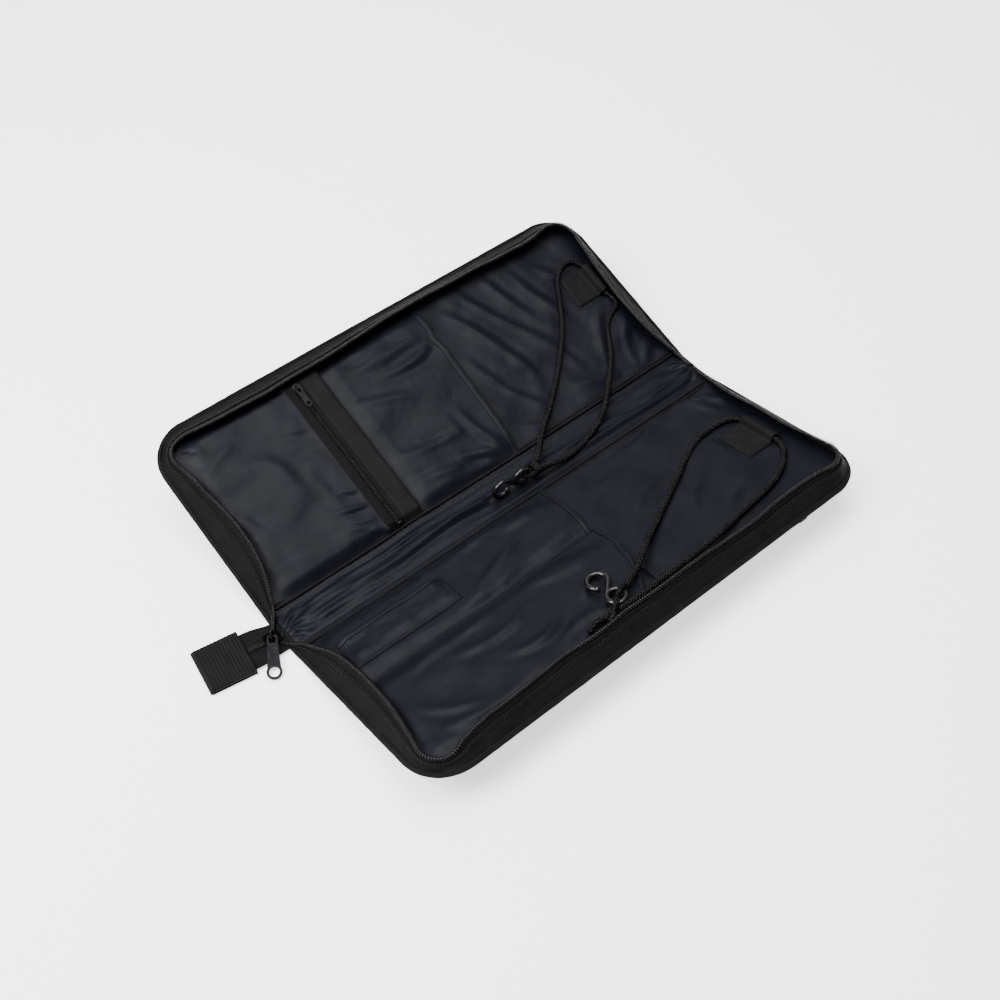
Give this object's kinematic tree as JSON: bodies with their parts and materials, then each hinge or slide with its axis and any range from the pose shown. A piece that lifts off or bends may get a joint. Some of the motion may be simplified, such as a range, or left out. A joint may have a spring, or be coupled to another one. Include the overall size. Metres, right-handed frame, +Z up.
{
  "type": "drum stick bag",
  "caption": "Soft zipped bag for drum sticks, lying open like a book, with stick sleeves, a zipped pocket, cord loops with hooks and a zip tail with a tab.",
  "frame": {"origin": "middle of the spine's underside, where the open bag rests", "axes": "+X along the spine from the zip tail to the far end, +Y towards the panel with the zipped pocket, +Z up"},
  "size_m": [0.541, 0.4018, 0.0713],
  "materials": {
    "shell_cloth": "matte woven nylon over thin foam",
    "lining_cloth": "satin nylon lining",
    "gusset_cloth": "coarse matte nylon",
    "zip_tape_cloth": "woven zip tape",
    "webbing": "ribbed matte webbing",
    "zip_coil": "glossy nylon coil",
    "slider_metal": "dark plated, satin",
    "hook_plastic": "glossy moulded",
    "cord_braid": "round braid",
    "binding_tape": "woven binding"
  },
  "bodies": {
    "spine": {"spine_panel": "shell_cloth", "spine_lining": "lining_cloth", "tail_tape_left": "zip_tape_cloth", "tail_tape_right": "zip_tape_cloth", "tail_coil": "zip_coil", "near_coil_fork": "zip_coil", "far_coil_fork": "zip_coil", "zip_bottom_stop": "slider_metal", "zip_top_stops": "slider_metal", "tail_tab": "webbing", "back_cord_left": "cord_braid", "back_cord_right": "cord_braid", "back_cord_knot": "cord_braid"},
    "back_panel": {"back_shell": "shell_cloth", "back_lining": "lining_cloth", "back_gusset": "gusset_cloth", "back_zip_tape": "zip_tape_cloth", "back_piping": "binding_tape", "back_zip_coil": "zip_coil", "back_seam_piping": "binding_tape", "zip_pocket_panel": "lining_cloth", "pocket_binding": "binding_tape", "pocket_zip_tape_near": "zip_tape_cloth", "pocket_zip_tape_far": "zip_tape_cloth", "pocket_zip_coil": "zip_coil", "pocket_zip_stops": "slider_metal", "back_sleeve": "lining_cloth", "back_sleeve_hem": "lining_cloth", "back_cord_anchor": "webbing"},
    "front_panel": {"front_shell": "shell_cloth", "front_lining": "lining_cloth", "front_gusset": "gusset_cloth", "front_zip_tape": "zip_tape_cloth", "front_piping": "binding_tape", "front_zip_coil": "zip_coil", "front_seam_piping": "binding_tape", "inner_stick_sleeve": "lining_cloth", "inner_sleeve_hem": "lining_cloth", "outer_stick_sleeve": "lining_cloth", "outer_sleeve_hem": "lining_cloth", "key_pocket": "lining_cloth", "key_pocket_hem": "lining_cloth", "outside_pocket": "shell_cloth", "outside_pocket_hem": "shell_cloth", "front_cord_anchor": "webbing", "front_cord_left": "cord_braid", "front_cord_right": "cord_braid", "front_cord_knot": "cord_braid"},
    "main_slider_body": {"main_slider": "slider_metal"},
    "main_pull_body": {"main_pull": "slider_metal"},
    "pocket_slider_body": {"pocket_slider": "slider_metal"},
    "pocket_pull_body": {"pocket_pull": "slider_metal"},
    "back_hook_body": {"back_hook": "hook_plastic"},
    "front_hook_body": {"front_hook": "hook_plastic"}
  },
  "joints": [
    {"name": "fold_back", "type": "hinge", "parent": "spine", "child": "back_panel", "pos_m": [0, 0.018, 0.002], "axis": [1, 0, 0], "range_deg": [-18.1, 71.4], "deforming": ["back_cord_left", "back_cord_right"]},
    {"name": "fold_front", "type": "hinge", "parent": "spine", "child": "front_panel", "pos_m": [0, -0.018, 0.002], "axis": [-1, 0, 0], "range_deg": [-2.6, 77.8]},
    {"name": "main_slider_slide", "type": "slide", "parent": "spine", "child": "main_slider_body", "axis": [-0.9877, 0.1564, 0], "range_m": [0, 0.006]},
    {"name": "main_pull_hinge", "type": "hinge", "parent": "main_slider_body", "child": "main_pull_body", "pos_m": [-0.24101, 0.00117, 0.008], "axis": [-0.8572, 0.515, 0], "range_deg": [0, 100]},
    {"name": "pocket_slider_slide", "type": "slide", "parent": "back_panel", "child": "pocket_slider_body", "axis": [0, -0.9505, -0.3107], "range_m": [0, 0.125]},
    {"name": "pocket_pull_hinge", "type": "hinge", "parent": "pocket_slider_body", "child": "pocket_pull_body", "pos_m": [-0.096, 0.16508, 0.06217], "axis": [-1, 0, 0], "range_deg": [0, 50]},
    {"name": "back_hook_swing", "type": "hinge", "parent": "spine", "child": "back_hook_body", "pos_m": [0.015, -0.005, 0.0145], "axis": [0, 1, 0], "range_deg": [0, 80]},
    {"name": "front_hook_swing", "type": "hinge", "parent": "front_panel", "child": "front_hook_body", "pos_m": [-0.021, -0.16243, 0.04427], "axis": [0, 0.2028, 0.9792], "range_deg": [-30, 30]}
  ]
}
